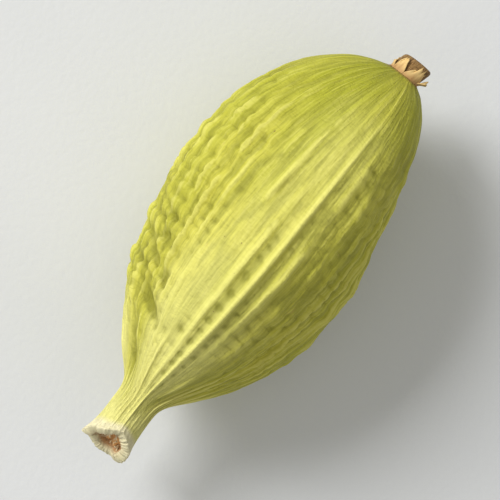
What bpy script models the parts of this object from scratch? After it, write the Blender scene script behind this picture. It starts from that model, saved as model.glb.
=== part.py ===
# Green cardamom pod
#
# A dried pod, grown as one piece: a papery husk of three valves, a pale neck
# with the hollow stub of its stalk at one end, and the dry remnant of the
# flower at the other. Its section is a rounded triangle. It lies on one of
# its three faces with a ridge uppermost and its length along X, the stub at
# the -X end. Metres, +Z up, origin under the middle of its bounding box.
#
# The pod starts as a turned shape. Each of its points is then moved by a
# formula of its distance from the stub's rim along the pod, its radius, and
# its angle round the axis counted from the uppermost ridge towards +Y.

import math
import random

import bmesh
import bpy
from mathutils import Vector, noise

MM = 0.001

# Driving dimensions
LENGTH = 18.5 * MM              # stub's rim to the flower remnant's tip
GIRTH_RADIUS = 4.04 * MM        # mean radius where the pod is widest
WIDEST_AT = 10.6 * MM           # measured from the stub's rim, like the next two
NECK_END = 2.1 * MM
BODY_END = 17.80 * MM
SHOULDER_POWER = 2.45           # fullness of the swell from neck to widest place
FAR_END_POWER = 1.9             # fullness of the rounding at the far end
BLEND_POWER = 3.0               # how softly the neck and the remnant join the body

# Stub
NECK_RADIUS = 0.84 * MM
RIM_FLARE = 0.14 * MM           # how far the stub's rim stands out from the neck
FLARE_LENGTH = 1.1 * MM
HOLLOW_RADIUS = 0.58 * MM
HOLLOW_DEPTH = 1.3 * MM
HOLLOW_TAPER = 0.6              # radius of the hollow's floor as a share of its mouth's
RIM_SLANT = math.radians(28.0)  # the stub's end faces this far upwards
RIM_TEAR = 0.10 * MM            # unevenness of the torn rim
RIM_TEAR_PHASE = 0.6

# Flower remnant
REMNANT_RADIUS = 0.64 * MM
REMNANT_EDGE = 0.6              # radius of its end's rounded edge as a share of its own
REMNANT_DIMPLE = 0.25 * MM
REMNANT_LOBES = 2
REMNANT_LOBING = 0.16           # share by which the lobes stand out

# Section and axis
VALVES = 3
CORNER_SHARE = 0.090            # how far the section is from round at the widest place
SHOULDER_SHARE = 0.14           # the same just above the neck
CORNERS_GROW = (0.15, 0.4)      # shares of the full girth between which the corners come in
CORNER_TURN = (math.radians(5.45), math.radians(-8.0))  # of the corners, near and far
CORNERS_TURN = (6.0 * MM, 13.0 * MM)                    # where the one becomes the other
SIDE_BOW = 0.50 * MM            # sideways bend of the axis, towards +Y
BOW_POWER = 2.7                 # moves the bend's peak towards the far end
NEAR_LEAN = 0.15 * MM           # the stub's end leans this far towards -Y
END_LIFT = 0.30 * MM            # both ends stand this much above the middle
TWIST = math.radians(-14.0)     # turn of the section from end to end
TWIST_POWER = 1.8               # the far half turns more than the near half

# Broad dent in the +Y side
SIDE_DENT = 0.28 * MM
SIDE_DENT_AT = 7.6 * MM
SIDE_DENT_ANGLE = math.radians(102.0)
SIDE_DENT_WIDTH = 1.3 * MM
SIDE_DENT_REACH = math.radians(32.0)

# Lengthwise ribs, and the taller one along each corner
RIBS = 33
RIB_HEIGHT = 0.055 * MM
RIB_STRENGTHS = (0.55, 1.25)    # weakest and strongest rib, as shares of that height
RIDGE_HEIGHT = 0.20 * MM
RIDGE_SHIFT = math.radians(5.45)
RIDGE_REACH = math.radians(8.0)
RIDGE_RIB_SHARE = 0.10          # share of a ridge that is its rib, not the fold under it
RIDGE_FADE = 0.80               # share of its height that a ridge loses towards the far end
RIDGE_FADES = (6.5 * MM, 12.5 * MM)
RELIEF_POWER = 0.7              # how the ribs get lower as the pod gets thinner
RIM_SMOOTHNESS = 0.35           # share of the ribs' height left at the stub's rim

# Crosswise puckers, and the dents between the seeds
PUCKER_HEIGHT = 0.045 * MM
PUCKER_PITCH = 1.15 * MM
PUCKER_DRIFT = 3.0              # radians by which their rows wander
PUCKER_PATCHES = (-0.35, 0.45)  # noise values where a patch of puckers starts and is full
DENT_DEPTH = 0.16 * MM
DENT_SIZE = 3.4 * MM
DRIFT_FIELD = Vector((7.0, 0.0, 0.0))
PATCH_FIELD = Vector((0.0, 9.0, 0.0))

# Resting attitude
REST_CUT = 0.25 * MM            # depth of the flat spot under the pod's weight
SETTLE = 0.03 * MM              # points this near the flat spot lie in it
CUTTER_SIZE = (2.0 * LENGTH, LENGTH, 0.2 * LENGTH)

# Mesh density: three points across a rib, and rings along the length
SEGMENTS = 3 * RIBS
OUTER_RINGS = 55
HOLLOW_RINGS = 3
FINE_STEPS = 2000
MERGE_DISTANCE = 1.0e-6

SEED = 27
HUSK_COLOUR = (0.44, 0.42, 0.085, 1.0)
HUSK_ROUGHNESS = 0.6
SHARP_ANGLE = math.radians(50.0)


def smooth_step(low, high, value):
    """Rise from 0 to 1 between two values."""
    share = min(1.0, max(0.0, (value - low) / (high - low)))
    return share * share * (3.0 - 2.0 * share)


# Plain form

def swell(s):
    """Radius that the seed-filled body adds at a distance from the rim."""
    if s <= NECK_END or s >= BODY_END:
        return 0.0
    if s < WIDEST_AT:
        share = (WIDEST_AT - s) / (WIDEST_AT - NECK_END)
        return GIRTH_RADIUS * (1.0 - share ** SHOULDER_POWER)
    share = (s - WIDEST_AT) / (BODY_END - WIDEST_AT)
    return GIRTH_RADIUS * math.sqrt(1.0 - share ** FAR_END_POWER)


def end_radius(s):
    """Radius of the neck and of the remnant, joined by a straight taper."""
    radius = NECK_RADIUS + (REMNANT_RADIUS - NECK_RADIUS) * s / LENGTH
    flare = max(0.0, 1.0 - s / FLARE_LENGTH)
    return radius + RIM_FLARE * flare ** 2


def outer_radius(s):
    """Mean radius of the pod's outside at a distance from the rim."""
    total = end_radius(s) ** BLEND_POWER + swell(s) ** BLEND_POWER
    return total ** (1.0 / BLEND_POWER)


def evenly_along(curve, count):
    """Points of a curve over 0 to 1, evenly spaced by the distance along it."""
    fine = [curve(i / FINE_STEPS) for i in range(FINE_STEPS + 1)]
    travelled = [0.0]
    for before, after in zip(fine, fine[1:]):
        travelled.append(travelled[-1] + math.dist(before, after))
    points = []
    at = 0
    for i in range(count):
        target = travelled[-1] * i / (count - 1)
        while travelled[at] < target and at < FINE_STEPS:
            at += 1
        points.append(fine[at])
    return points


def pod_profile():
    """Half outline as (distance from the rim, radius), from the hollow's floor."""
    points = [(HOLLOW_DEPTH, 0.0)]
    for i in range(HOLLOW_RINGS):
        share = i / HOLLOW_RINGS
        radius = HOLLOW_RADIUS * (HOLLOW_TAPER + (1.0 - HOLLOW_TAPER) * share)
        points.append((HOLLOW_DEPTH * (1.0 - share ** 2), radius))
    points.append((0.0, 0.5 * (HOLLOW_RADIUS + outer_radius(0.0))))
    last_ring = LENGTH - 0.5 * REMNANT_DIMPLE

    def outside(share):
        return (last_ring * share, outer_radius(last_ring * share))

    points += evenly_along(outside, OUTER_RINGS)
    points.append((LENGTH, REMNANT_EDGE * REMNANT_RADIUS))
    points.append((LENGTH - REMNANT_DIMPLE, 0.0))
    return points


# Relief

def rib_strengths():
    """How strongly each rib stands out, since no two are alike."""
    draw = random.Random(SEED)
    return [draw.uniform(*RIB_STRENGTHS) for _ in range(RIBS)]


def nearness_to_ridge(angle):
    """1 along each of the three ridges, falling to 0 beside it."""
    spacing = 2.0 * math.pi / VALVES
    distance = (angle - RIDGE_SHIFT + 0.5 * spacing) % spacing - 0.5 * spacing
    return math.exp(-(distance / RIDGE_REACH) ** 2)


def ribs_and_ridges(s, angle, strengths):
    """Height of the lengthwise relief, with a rib along each ridge."""
    rib = strengths[int(angle * RIBS / (2.0 * math.pi)) % RIBS]
    crest = -math.cos(RIBS * angle)
    fold = 1.0 - RIDGE_RIB_SHARE
    ridge = nearness_to_ridge(angle) * (fold + RIDGE_RIB_SHARE * crest)
    ridge *= 1.0 - RIDGE_FADE * smooth_step(*RIDGE_FADES, s)
    thinness = (outer_radius(s) / GIRTH_RADIUS) ** RELIEF_POWER
    wear = RIM_SMOOTHNESS + (1.0 - RIM_SMOOTHNESS) * smooth_step(0.0, NECK_END, s)
    return wear * thinness * (RIB_HEIGHT * rib * crest + RIDGE_HEIGHT * ridge)


def puckers_and_dents(s, angle):
    """Height of the crosswise relief, whose puckers stop at the ridges."""
    around = Vector((math.cos(angle), math.sin(angle), 0.0)) * GIRTH_RADIUS
    place = (around + Vector((0.0, 0.0, s))) / DENT_SIZE
    patch = smooth_step(*PUCKER_PATCHES, noise.noise(place + PATCH_FIELD))
    turn = 2.0 * math.pi * s / PUCKER_PITCH
    turn += PUCKER_DRIFT * noise.noise(place + DRIFT_FIELD)
    puckers = PUCKER_HEIGHT * patch * math.cos(turn) * (1.0 - nearness_to_ridge(angle))
    dents = DENT_DEPTH * noise.noise(place)
    return (outer_radius(s) / GIRTH_RADIUS) ** 2 * (puckers + dents)


# Grown form

def corner_turn(s):
    """Angle by which the corners are turned at a distance from the rim."""
    near, far = CORNER_TURN
    return near + (far - near) * smooth_step(*CORNERS_TURN, s)


def side_dent(s, angle):
    """Depth of the broad dent at a place."""
    along = (s - SIDE_DENT_AT) / SIDE_DENT_WIDTH
    across = (angle - SIDE_DENT_ANGLE) / SIDE_DENT_REACH
    return SIDE_DENT * math.exp(-along ** 2 - across ** 2)


def grown_radius(s, radius, angle, strengths):
    """Radius that a point of the turned form has on the grown pod."""
    nominal = outer_radius(min(s, LENGTH))
    outside = smooth_step(HOLLOW_RADIUS / NECK_RADIUS, 1.0, radius / nominal)
    filling = smooth_step(NECK_END, WIDEST_AT, s)
    corners = SHOULDER_SHARE + (CORNER_SHARE - SHOULDER_SHARE) * filling
    corners *= outside * smooth_step(*CORNERS_GROW, nominal / GIRTH_RADIUS)
    r = radius * (1.0 + corners * math.cos(VALVES * (angle - corner_turn(s))))
    r -= outside * side_dent(s, angle)
    r += outside * ribs_and_ridges(s, angle, strengths)
    r += outside * puckers_and_dents(s, angle)
    remnant = smooth_step(BODY_END - REMNANT_DIMPLE, BODY_END, s)
    return r * (1.0 + remnant * REMNANT_LOBING * math.cos(REMNANT_LOBES * angle))


def grown_place(s, radius, angle, strengths):
    """Place of a point of the turned form on the grown pod."""
    r = grown_radius(s, radius, angle, strengths)
    slant = math.tan(RIM_SLANT) * (NECK_RADIUS + r * math.cos(angle))
    tear = RIM_TEAR * (math.cos(2.0 * angle + RIM_TEAR_PHASE) + 0.5 * math.cos(5.0 * angle))
    along = s + max(0.0, 1.0 - s / NECK_END) * (slant + tear)
    share = s / LENGTH
    turned = angle + TWIST * share ** TWIST_POWER
    side = SIDE_BOW * math.sin(math.pi * share ** BOW_POWER)
    side -= NEAR_LEAN * (1.0 - share) ** 2
    lift = END_LIFT * (2.0 * share - 1.0) ** 2
    return Vector((along, side + r * math.sin(turned), lift + r * math.cos(turned)))


def turned_mesh(collection):
    """The plain pod as a turned shape, its stub uppermost."""
    outline = bpy.data.meshes.new("pod_profile")
    bm = bmesh.new()
    verts = [bm.verts.new((radius, 0.0, -s)) for s, radius in pod_profile()]
    for upper, lower in zip(verts, verts[1:]):
        bm.edges.new((upper, lower))
    bm.to_mesh(outline)
    bm.free()

    turned = bpy.data.objects.new("pod_profile", outline)
    collection.objects.link(turned)
    screw = turned.modifiers.new("Turn", "SCREW")
    screw.steps = SEGMENTS
    screw.render_steps = SEGMENTS
    screw.use_merge_vertices = True
    screw.merge_threshold = MERGE_DISTANCE
    depsgraph = bpy.context.evaluated_depsgraph_get()
    mesh = bpy.data.meshes.new_from_object(turned.evaluated_get(depsgraph))
    bpy.data.objects.remove(turned)
    bpy.data.meshes.remove(outline)
    return mesh


def grow(bm):
    """Move every point of the turned form to its place on the grown pod."""
    strengths = rib_strengths()
    half_step = math.pi / SEGMENTS
    for vert in bm.verts:
        radius = math.hypot(vert.co.x, vert.co.y)
        angle = (math.atan2(vert.co.y, vert.co.x) + half_step) % (2.0 * math.pi)
        vert.co = grown_place(-vert.co.z, radius, angle, strengths)


def set_down(bm):
    """Centre the pod over the origin, with the plane of its flat spot at Z 0."""
    low = Vector(min(vert.co[axis] for vert in bm.verts) for axis in range(3))
    high = Vector(max(vert.co[axis] for vert in bm.verts) for axis in range(3))
    middle = 0.5 * (low + high)
    bmesh.ops.translate(bm, verts=bm.verts, vec=(-middle.x, -middle.y, -low.z - REST_CUT))
    for vert in bm.verts:
        if abs(vert.co.z) < SETTLE:
            vert.co.z = 0.0


def floor_cutter():
    """A block under Z 0 that takes away what reaches below the flat spot."""
    collection = bpy.data.collections.new("cutters")
    bpy.context.scene.collection.children.link(collection)
    mesh = bpy.data.meshes.new("floor_cutter")
    bm = bmesh.new()
    bmesh.ops.create_cube(bm, size=1.0)
    bmesh.ops.scale(bm, verts=bm.verts, vec=CUTTER_SIZE)
    bmesh.ops.translate(bm, verts=bm.verts, vec=(0.0, 0.0, -0.5 * CUTTER_SIZE[2]))
    bm.to_mesh(mesh)
    bm.free()
    cutter = bpy.data.objects.new("floor_cutter", mesh)
    cutter.hide_render = True
    cutter.display_type = "WIRE"
    collection.objects.link(cutter)
    return cutter


def husk_material():
    """The husk's dull yellow-green."""
    material = bpy.data.materials.new("husk")
    material.use_nodes = True
    shader = material.node_tree.nodes["Principled BSDF"]
    shader.inputs["Base Color"].default_value = HUSK_COLOUR
    shader.inputs["Roughness"].default_value = HUSK_ROUGHNESS
    shader.inputs["Metallic"].default_value = 0.0
    return material


def build_pod():
    """The whole pod as one closed solid."""
    collection = bpy.data.collections.new("green_cardamom_pod")
    bpy.context.scene.collection.children.link(collection)
    mesh = turned_mesh(collection)
    mesh.name = "cardamom_pod"
    bm = bmesh.new()
    bm.from_mesh(mesh)
    grow(bm)
    set_down(bm)
    bmesh.ops.recalc_face_normals(bm, faces=bm.faces)
    bm.to_mesh(mesh)
    bm.free()
    mesh.materials.clear()
    mesh.materials.append(husk_material())
    mesh.shade_smooth()
    mesh.set_sharp_from_angle(angle=SHARP_ANGLE)
    pod = bpy.data.objects.new("cardamom_pod", mesh)
    collection.objects.link(pod)
    flatten = pod.modifiers.new("Flat spot", "BOOLEAN")
    flatten.operation = "DIFFERENCE"
    flatten.solver = "EXACT"
    flatten.object = floor_cutter()


for old in list(bpy.data.objects):
    bpy.data.objects.remove(old)
build_pod()
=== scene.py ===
"""A dried green cardamom pod, dressed in its fine relief and colours.

The pod lies along X, its hollow stub at -X and one of its three ridges on top.
Metres, +Z up. The husk repeats the frame's form from the same driving sizes
and adds what is too fine for the frame. A place on it is given by s, the
distance from the stub's rim along the pod, and by an angle round the axis,
counted from the uppermost ridge towards +Y.
"""

import logging
import math
import random
from dataclasses import dataclass
from enum import Enum

import bmesh
import bpy
from mathutils import Matrix, Vector, noise


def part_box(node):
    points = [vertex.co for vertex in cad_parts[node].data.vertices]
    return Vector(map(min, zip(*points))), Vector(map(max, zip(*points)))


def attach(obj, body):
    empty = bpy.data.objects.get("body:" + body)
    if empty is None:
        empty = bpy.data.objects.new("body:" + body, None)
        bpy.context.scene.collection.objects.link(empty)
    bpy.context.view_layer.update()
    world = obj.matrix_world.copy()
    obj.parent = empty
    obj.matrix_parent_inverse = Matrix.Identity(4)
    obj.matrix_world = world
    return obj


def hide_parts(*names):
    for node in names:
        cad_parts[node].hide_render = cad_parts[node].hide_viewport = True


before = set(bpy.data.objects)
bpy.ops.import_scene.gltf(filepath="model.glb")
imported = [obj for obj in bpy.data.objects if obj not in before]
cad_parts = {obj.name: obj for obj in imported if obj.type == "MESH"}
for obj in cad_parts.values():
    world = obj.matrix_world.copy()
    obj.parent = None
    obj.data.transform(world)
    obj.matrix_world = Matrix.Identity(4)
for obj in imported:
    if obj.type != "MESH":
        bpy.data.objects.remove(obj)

MM = 0.001
DEG = math.pi / 180.0
TAU = 2.0 * math.pi
NODE = "cardamom_pod"
BODY = "root"

Colour = tuple[float, float, float, float]
Span = tuple[float, float]
Socket = bpy.types.NodeSocket
Material = bpy.types.Material
Piece = bpy.types.Object
BMesh = bmesh.types.BMesh
BMLayer = bmesh.types.BMLayerItem

log = logging.getLogger("pod")


class Layer(Enum):
    """Names of what a mesh carries for its material to read."""

    PLACE = "husk_place"    # the point on a straight cylinder: noise there follows the husk
    GRAIN = "husk_grain"    # rib crest, ridge, and painted shade in pits and creases
    ZONES = "husk_zones"    # pale neck together with painted light and a painted highlight; hollow with painted shade; remnant
    REACH = "reach"         # 0 at the root of a dry shred, 1 at its tip; the finish paints shade towards 0
    BAKE_MAP = "OFBake"     # the husk rolled out flat


def smooth_step(low: float, high: float, value: float) -> float:
    """Rise from 0 to 1 between two values."""
    share = min(1.0, max(0.0, (value - low) / (high - low)))
    return share * share * (3.0 - 2.0 * share)


def blend(first: float, second: float, share: float) -> float:
    """The value that lies a share of the way from the first to the second."""
    return first + (second - first) * share


def field(place: Vector, size: float, *shift: float) -> float:
    """Smooth noise whose lumps have a size, about 0 in the mean."""
    at = place / size
    return noise.noise(at + Vector(shift) if shift else at)


# The pod's form


@dataclass(frozen=True)
class PodForm:
    """The pod's driving sizes and the plain form that they give."""

    length: float = 18.5 * MM
    girth: float = 4.04 * MM
    widest_at: float = 10.6 * MM
    neck_end: float = 2.1 * MM
    body_end: float = 17.80 * MM
    shoulder_power: float = 2.45
    far_end_power: float = 1.9
    blend_power: float = 3.0

    neck: float = 0.84 * MM
    rim_flare: float = 0.14 * MM
    flare_length: float = 1.1 * MM
    hollow: float = 0.58 * MM
    hollow_depth: float = 1.3 * MM
    rim_slant: float = 28.0 * DEG
    rim_tear: float = 0.10 * MM
    rim_tear_phase: float = 0.6

    remnant: float = 0.64 * MM
    remnant_dimple: float = 0.25 * MM
    remnant_lobing: float = 0.16

    valves: int = 3
    corner_share: float = 0.090
    shoulder_share: float = 0.14
    corner_turn_near: float = 5.45 * DEG
    corner_turn_far: float = -8.0 * DEG
    turns_over: Span = (6.0 * MM, 13.0 * MM)
    corners_grow_over: Span = (0.15, 0.4)
    side_bow: float = 0.50 * MM
    bow_power: float = 2.7
    near_lean: float = 0.15 * MM
    side_dent: float = 0.28 * MM
    dent_at: float = 7.6 * MM
    dent_angle: float = 102.0 * DEG
    dent_width: float = 1.3 * MM
    dent_reach: float = 32.0 * DEG
    end_lift: float = 0.30 * MM
    twist: float = -14.0 * DEG
    twist_power: float = 1.8

    def swell(self, s: float) -> float:
        """Radius that the seed-filled body adds.

        Args:
            s: Distance from the stub's rim.

        Returns:
            The radius, 0 outside the body.
        """
        if s <= self.neck_end or s >= self.body_end:
            return 0.0
        if s < self.widest_at:
            share = (self.widest_at - s) / (self.widest_at - self.neck_end)
            return self.girth * (1.0 - share ** self.shoulder_power)
        share = (s - self.widest_at) / (self.body_end - self.widest_at)
        return self.girth * math.sqrt(1.0 - share ** self.far_end_power)

    def outer(self, s: float) -> float:
        """Mean radius of the outside.

        Args:
            s: Distance from the stub's rim.

        Returns:
            The radius of neck, body and remnant together.
        """
        flare = max(0.0, 1.0 - s / self.flare_length)
        ends = blend(self.neck, self.remnant, s / self.length) + self.rim_flare * flare ** 2
        total = ends ** self.blend_power + self.swell(s) ** self.blend_power
        return total ** (1.0 / self.blend_power)

    def corner_distance(self, angle: float) -> float:
        """Angle from the nearest corner, with its sign."""
        spacing = TAU / self.valves
        return (angle + 0.5 * spacing) % spacing - 0.5 * spacing

    def corner_turn(self, s: float) -> float:
        """Angle by which the corners are turned at a distance from the rim."""
        share = smooth_step(*self.turns_over, s)
        return blend(self.corner_turn_near, self.corner_turn_far, share)

    def dent(self, s: float, angle: float) -> float:
        """Depth of the broad dent in the husk's +Y side."""
        along = (s - self.dent_at) / self.dent_width
        across = (angle - self.dent_angle) / self.dent_reach
        return self.side_dent * math.exp(-along ** 2 - across ** 2)

    def cornered(self, s: float, radius: float, angle: float) -> float:
        """Radius once the section has become a rounded triangle.

        Args:
            s: Distance from the stub's rim.
            radius: Radius in the turned form.
            angle: Angle round the axis.

        Returns:
            The radius, with the remnant's two lobes at the far end.
        """
        nominal = self.outer(min(s, self.length))
        filling = smooth_step(self.neck_end, self.widest_at, s)
        corners = blend(self.shoulder_share, self.corner_share, filling)
        corners *= self.outside(s, radius)
        corners *= smooth_step(*self.corners_grow_over, nominal / self.girth)
        lobes = smooth_step(self.body_end - self.remnant_dimple, self.body_end, s)
        turned = angle - self.corner_turn(s)
        r = radius * (1.0 + corners * math.cos(self.valves * turned)) - self.dent(s, angle)
        return r * (1.0 + lobes * self.remnant_lobing * math.cos(2.0 * angle))

    def outside(self, s: float, radius: float) -> float:
        """1 on the outside, 0 in the hollow and in the remnant's dimple."""
        nominal = self.outer(min(max(s, 0.0), self.length))
        return smooth_step(self.hollow / self.neck, 1.0, radius / nominal)

    def place(self, s: float, r: float, angle: float, tear: float = 0.0) -> Vector:
        """Where a point of the section stands on the bent and twisted pod.

        Args:
            s: Distance from the stub's rim.
            r: Radius of the grown section there.
            angle: Angle round the axis.
            tear: Extra unevenness of the rim.

        Returns:
            The point, before the pod is set down.
        """
        slant = math.tan(self.rim_slant) * (self.neck + r * math.cos(angle))
        torn = math.cos(2.0 * angle + self.rim_tear_phase) + 0.5 * math.cos(5.0 * angle)
        near_rim = max(0.0, 1.0 - s / self.neck_end)
        along = s + near_rim * (slant + self.rim_tear * torn) + near_rim ** 4 * tear
        share = min(1.0, max(0.0, s / self.length))
        turned = angle + self.twist * share ** self.twist_power
        side = self.side_bow * math.sin(math.pi * share ** self.bow_power)
        side -= self.near_lean * (1.0 - share) ** 2
        lift = self.end_lift * (2.0 * share - 1.0) ** 2
        return Vector((along, side + r * math.sin(turned), lift + r * math.cos(turned)))


@dataclass(frozen=True)
class Fold:
    """A short groove in the husk, at a place and with a slant from crosswise."""

    s: float
    angle: float
    slant: float
    length: float
    width: float
    depth: float

    def at(self, s: float, angle: float, radius: float) -> float:
        """Depth of the groove at a place.

        Args:
            s: Distance from the stub's rim.
            angle: Angle round the axis, from 0 to a full turn.
            radius: Radius of the husk there.

        Returns:
            The depth in metres.
        """
        across = (angle - self.angle) * radius
        along = s - self.s
        u = across * math.cos(self.slant) + along * math.sin(self.slant)
        v = along * math.cos(self.slant) - across * math.sin(self.slant)
        return self.depth * math.exp(-(u / self.length) ** 2 - (v / self.width) ** 2)


@dataclass(frozen=True)
class Stretch:
    """A stretch of one rib, or of the valley before it, that differs from the rest."""

    number: int
    begins: float
    ends: float
    height: float

    def at(self, s: float) -> float:
        """Height that the stretch adds at a distance from the rim."""
        soft = 0.22 * (self.ends - self.begins)
        rising = smooth_step(self.begins - soft, self.begins + soft, s)
        return self.height * rising * (1.0 - smooth_step(self.ends - soft, self.ends + soft, s))


# Folds: distance from the rim in mm, angle and slant in degrees, then length,
# width and depth in mm, a negative depth standing out
FOLDS = (
    (4.0, 80.0, 78.0, 0.90, 0.27, 0.28),
    (3.4, 113.0, 74.0, 0.90, 0.30, -0.12),
    (4.9, 82.0, 55.0, 1.10, 0.38, -0.10),
    (5.5, 66.0, 22.0, 1.10, 0.25, 0.28),
    (5.9, 62.0, 24.0, 0.80, 0.22, -0.06),
    (6.4, 58.0, 30.0, 0.42, 0.21, 0.22),
    (6.8, 81.0, 22.0, 0.60, 0.20, 0.19),
    (7.6, 80.0, 18.0, 0.48, 0.18, 0.15),
    (8.3, 77.0, 15.0, 0.36, 0.16, 0.10),
    (5.4, 20.0, 86.0, 0.40, 0.14, 0.08),
    (10.9, 42.0, 88.0, 0.75, 0.15, 0.08),
    (9.1, 52.0, 88.0, 0.50, 0.14, 0.07),
    (4.6, 292.0, -70.0, 0.90, 0.17, 0.10),
    (5.8, 196.0, 70.0, 1.10, 0.18, 0.11),
    (15.3, 70.0, -62.0, 0.80, 0.18, 0.08),
    (15.6, 300.0, 64.0, 0.80, 0.18, 0.08),
)

# Ribs that stand out or sink: number, beginning, end and height in mm
RAISED = (
    (0, 0.6, 13.0, 0.08),
    (0, 14.0, 15.6, 0.06),
    (1, 1.5, 9.0, 0.05),
    (32, 1.0, 6.4, -0.05),
    (32, 7.0, 10.2, 0.05),
    (32, 10.6, 12.2, -0.05),
    (32, 12.4, 14.0, 0.03),
    (32, 14.4, 17.4, -0.05),
    (1, 9.5, 17.0, -0.035),
    (2, 8.0, 17.0, -0.03),
    (3, 9.0, 17.0, -0.025),
    (31, 2.0, 17.0, -0.04),
    (30, 2.0, 17.0, -0.02),
    (4, 9.8, 12.0, 0.05),
    (5, 8.4, 10.0, 0.04),
    (20, 3.0, 9.0, 0.05),
)

# Valleys that are deeper: number, beginning, end and depth in mm
GROOVES = (
    (1, 3.2, 10.0, 0.11),
    (0, 1.2, 8.0, 0.055),
    (0, 9.8, 13.4, 0.04),
    (32, 12.0, 14.5, 0.05),
    (4, 7.6, 11.6, 0.03),
    (11, 2.5, 15.0, 0.06),
    (22, 2.5, 13.0, 0.06),
)


def stretches(rows: tuple[tuple[float, ...], ...]) -> list[Stretch]:
    """The stretches that a table lists in millimetres."""
    return [Stretch(n, begins * MM, ends * MM, h * MM) for n, begins, ends, h in rows]


@dataclass(frozen=True)
class Skin:
    """What the husk is like at one place."""

    height: float
    crest: float
    ridge: float
    # share of painted shade in pits, grooves and creases
    pit_and_painted_shade: float


@dataclass
class Relief:
    """Ribs, ridges, cross-wrinkles, dents and folds of the husk."""

    form: PodForm
    ribs: int = 33
    rib_height: float = 0.045 * MM
    rib_sharpness: float = 2.6
    vein_height: float = 0.020 * MM
    vein_spread: float = 0.28
    ridge_height: float = 0.20 * MM
    ridge_reach: float = 8.0 * DEG
    ridge_shift: float = 5.45 * DEG
    ridge_pair: float = 0.10
    main_rib: float = 5.45 * DEG
    main_pull: float = 0.25
    main_reach: float = 14.0 * DEG
    ridge_fade: float = 0.80
    ridge_fades_over: Span = (6.5 * MM, 12.5 * MM)
    relief_power: float = 0.7
    rim_smoothness: float = 0.35

    wander: float = 1.5 * DEG
    wander_size: float = 3.4 * MM
    fine_wander: float = 0.15
    far_end_calm: float = 0.70
    calms_over: Span = (12.0 * MM, 17.0 * MM)
    strength_swing: float = 2.2
    strength_size: float = 1.4 * MM
    least_strength: float = 0.10
    beading: float = 0.55
    wrinkle_depth: float = 0.080 * MM
    wrinkle_pitch: float = 0.60 * MM
    wrinkle_sharpness: float = 3.5
    wrinkle_drift: float = 0.9
    wrinkle_drift_size: float = 1.7 * MM
    cover_size: float = 2.4 * MM
    least_cover: float = 0.25
    cover_full_at: float = 5.0 * MM
    cover_falls_over: Span = (15.0 * MM, 17.2 * MM)
    cover_fall: float = 0.8
    crinkle_depth: float = 0.022 * MM
    crinkle_width: float = 0.95 * MM
    crinkle_spacing: float = 0.34 * MM
    crinkle_sharpness: float = 0.13
    groove_width: float = 0.20
    # depths at which a groove or a fold gets its full painted shade
    groove_depth_at_full_shade: float = 0.08 * MM
    crease_depth_at_full_shade: float = 0.18 * MM
    crest_mark: float = 0.06 * MM
    fold_range: float = 3.5 * MM

    comb_depth: float = 0.14 * MM
    comb_pitch: float = 0.72 * MM
    comb_slant: float = 17.0 * DEG
    comb_at: float = 7.3 * MM
    comb_angle: float = 92.0 * DEG
    comb_length: float = 2.3 * MM
    comb_reach: float = 30.0 * DEG
    comb_cover: float = 0.5
    comb_cover_spread: float = 1.6
    comb_drift: float = 0.35 * MM
    comb_drift_size: float = 1.5 * MM
    comb_sharpness: float = 2.2
    pucker_height: float = 0.036 * MM
    pucker_pitch: float = 1.15 * MM
    pucker_drift: float = 3.0
    dent_depth: float = 0.16 * MM
    dent_size: float = 3.4 * MM
    grit_height: float = 0.012 * MM
    grit_size: float = 0.20 * MM
    grit_stretch: float = 0.45
    vein_bend: float = 0.08
    vein_width: float = 0.055
    seed: int = 27

    def __post_init__(self) -> None:
        """Draws what differs from rib to rib, and lists the folds of the shoulder."""
        draw = random.Random(self.seed)
        self.strengths = [draw.uniform(0.45, 1.35) for _ in range(self.ribs)]
        self.offsets = [draw.uniform(0.0, 1.0) for _ in range(self.ribs)]
        self.folds = [
            Fold(s * MM, angle * DEG, slant * DEG, length * MM, width * MM, depth * MM)
            for s, angle, slant, length, width, depth in FOLDS
        ]
        self.raised = stretches(RAISED)
        self.grooves = stretches(GROOVES)

    def near_corner(self, angle: float, reach: float) -> float:
        """1 along each ridge, falling to 0 beside it."""
        return math.exp(-(self.form.corner_distance(angle - self.ridge_shift) / reach) ** 2)

    def rib_number(self, angle: float) -> float:
        """Place across the ribs: whole numbers are valleys, drawn closer beside the main rib."""
        offset = (angle - self.main_rib + math.pi) % TAU - math.pi
        pulled = self.main_pull * offset * math.exp(-(offset / self.main_reach) ** 2)
        return (angle + pulled) * self.ribs / TAU

    def fullness(self, s: float) -> float:
        """Radius at a distance from the rim, as a share of the greatest."""
        return self.form.outer(min(max(s, 0.0), self.form.length)) / self.form.girth

    def at(self, s: float, angle: float) -> Skin:
        """The husk's relief at a place.

        Args:
            s: Distance from the stub's rim.
            angle: Angle round the axis, from 0 to a full turn.

        Returns:
            The height over the plain form, how strongly rib crest and ridge show there, and the
            painted shade of its pits, grooves and creases.
        """
        form = self.form
        around = Vector((math.cos(angle), math.sin(angle), 0.0)) * form.girth
        place = around + Vector((0.0, 0.0, s))
        near = self.near_corner(angle, self.ridge_reach)

        drift = field(place, self.wander_size, 3.0, 1.0, 0.0)
        drift += self.fine_wander * field(place, 0.3 * self.wander_size, 0.0, 5.0, 2.0)
        number = self.rib_number(angle + (1.0 - near) * self.wander * drift)
        rib = int(math.floor(number)) % self.ribs
        valley = int(math.floor(number + 0.5)) % self.ribs
        crest = 0.5 - 0.5 * math.cos(TAU * number)
        sharp = crest ** self.rib_sharpness

        steps = s / self.wrinkle_pitch + self.offsets[valley]
        steps += self.wrinkle_drift * field(place, self.wrinkle_drift_size, 0.0, 0.0, 7.0)
        rung = (0.5 + 0.5 * math.cos(TAU * steps)) ** self.wrinkle_sharpness
        patch = self.cover(s, angle, place)

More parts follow.
